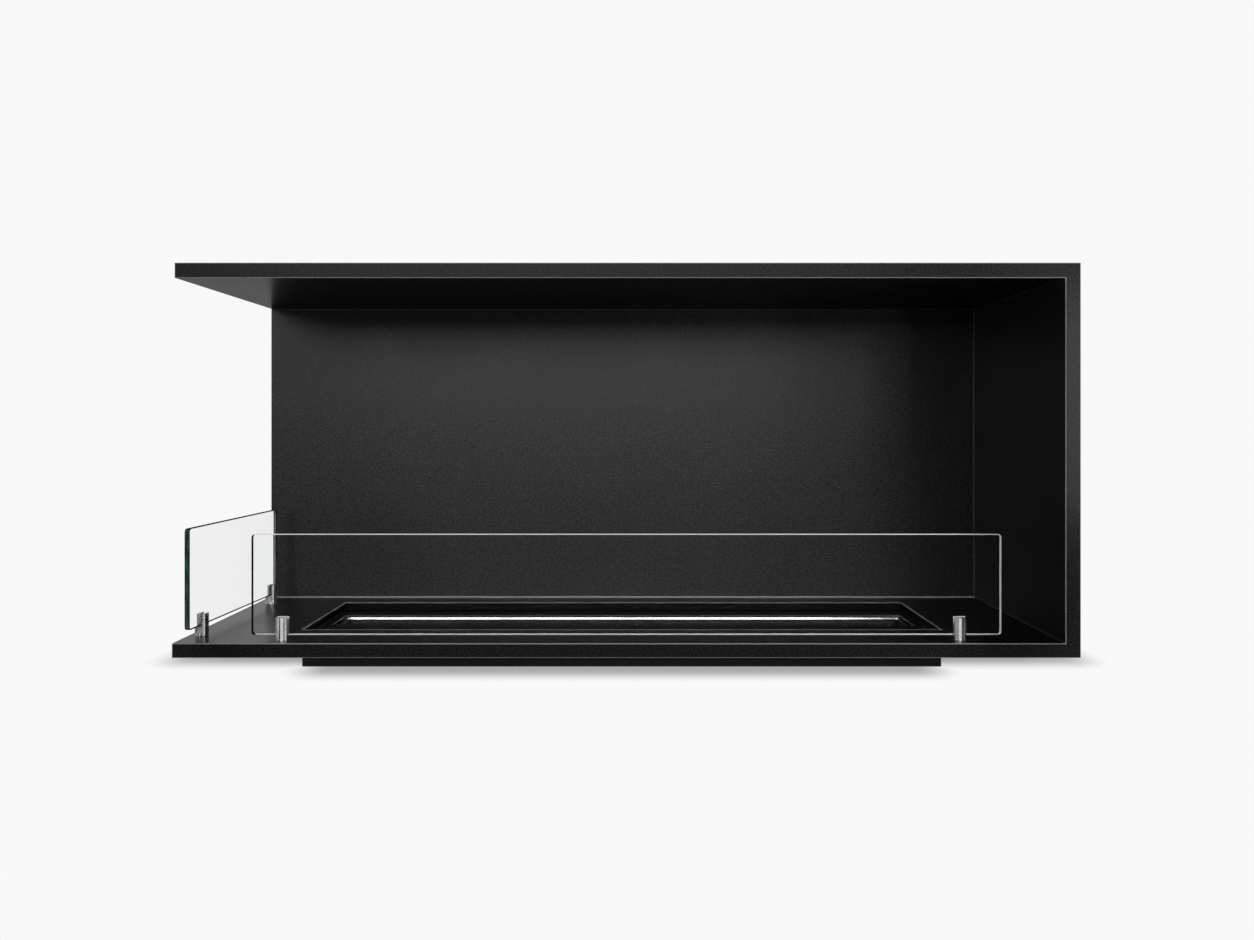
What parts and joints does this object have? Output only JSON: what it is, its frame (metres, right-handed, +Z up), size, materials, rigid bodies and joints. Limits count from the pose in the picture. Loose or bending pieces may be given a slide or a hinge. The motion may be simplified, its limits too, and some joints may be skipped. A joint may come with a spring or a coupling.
{
  "type": "bioethanol fireplace",
  "caption": "Built-in bioethanol fireplace: black double-walled steel box open at front and left, sunken slot burner with sliding shutter, and low glass guards in steel clamps.",
  "frame": {"origin": "bottom centre of the whole object: the middle of its bounding box, at the burner trough's underside", "axes": "+X towards the closed right wall, +Y to the rear, +Z up; the open front faces -Y, the open end -X"},
  "size_m": [1, 0.3, 0.463],
  "materials": {
    "black_steel": "fine satin black powder coat",
    "zinc_steel": "bright zinc plate",
    "stainless": "brushed",
    "polished_steel": "polished",
    "clear_glass": "clear toughened glass with polished edges",
    "silicone": "matte, translucent",
    "ceramic_wool": "soft white fibre"
  },
  "bodies": {
    "casing": {"front_frame": "black_steel", "top_cover": "black_steel", "ceiling_liner": "black_steel", "right_cover": "black_steel", "right_liner": "black_steel", "back_cover": "black_steel", "back_liner": "black_steel", "bottom_cover": "black_steel", "floor_liner": "black_steel", "top_spacer_1": "zinc_steel", "top_spacer_2": "zinc_steel", "floor_spacer_1": "zinc_steel", "floor_spacer_2": "zinc_steel", "right_spacer_1": "zinc_steel", "right_spacer_2": "zinc_steel", "back_spacer_1": "zinc_steel", "back_spacer_2": "zinc_steel", "back_cover_screw_1": "zinc_steel", "back_cover_screw_2": "zinc_steel", "back_cover_screw_3": "zinc_steel", "back_cover_screw_4": "zinc_steel", "back_cover_screw_5": "zinc_steel", "back_cover_screw_6": "zinc_steel", "bottom_cover_screw_1": "zinc_steel", "bottom_cover_screw_2": "zinc_steel", "bottom_cover_screw_3": "zinc_steel", "bottom_cover_screw_4": "zinc_steel", "burner_housing": "black_steel", "burner_rest_front": "black_steel", "burner_rest_rear": "black_steel", "front_left_clamp": "polished_steel", "front_right_clamp": "polished_steel", "side_front_clamp": "polished_steel", "side_rear_clamp": "polished_steel", "front_left_clamp_pad": "silicone", "front_right_clamp_pad": "silicone", "side_front_clamp_pad": "silicone", "side_rear_clamp_pad": "silicone", "front_left_clamp_screw": "zinc_steel", "front_right_clamp_screw": "zinc_steel", "side_front_clamp_screw": "zinc_steel", "side_rear_clamp_screw": "zinc_steel"},
    "burner": {"burner_top_plate": "black_steel", "shutter_guide_left": "stainless", "shutter_guide_right": "stainless", "fuel_tank": "stainless", "ceramic_wool": "ceramic_wool", "retaining_mesh": "stainless", "tank_screw_front_left": "zinc_steel", "tank_screw_rear_left": "zinc_steel", "tank_screw_front_right": "zinc_steel", "tank_screw_rear_right": "zinc_steel"},
    "shutter": {"flame_shutter": "stainless"},
    "front_pane": {"front_glass": "clear_glass"},
    "side_pane": {"side_glass": "clear_glass"}
  },
  "joints": [
    {"name": "burner_lift", "type": "slide", "parent": "casing", "child": "burner", "axis": [0, 0, 1], "range_m": [0, 0.06]},
    {"name": "shutter_slide", "type": "slide", "parent": "burner", "child": "shutter", "axis": [0, 1, 0], "range_m": [0, 0.052]},
    {"name": "front_glass_lift", "type": "slide", "parent": "casing", "child": "front_pane", "axis": [0, 0, 1], "range_m": [0, 0.03]},
    {"name": "side_glass_lift", "type": "slide", "parent": "casing", "child": "side_pane", "axis": [0, 0, 1], "range_m": [0, 0.03]}
  ]
}
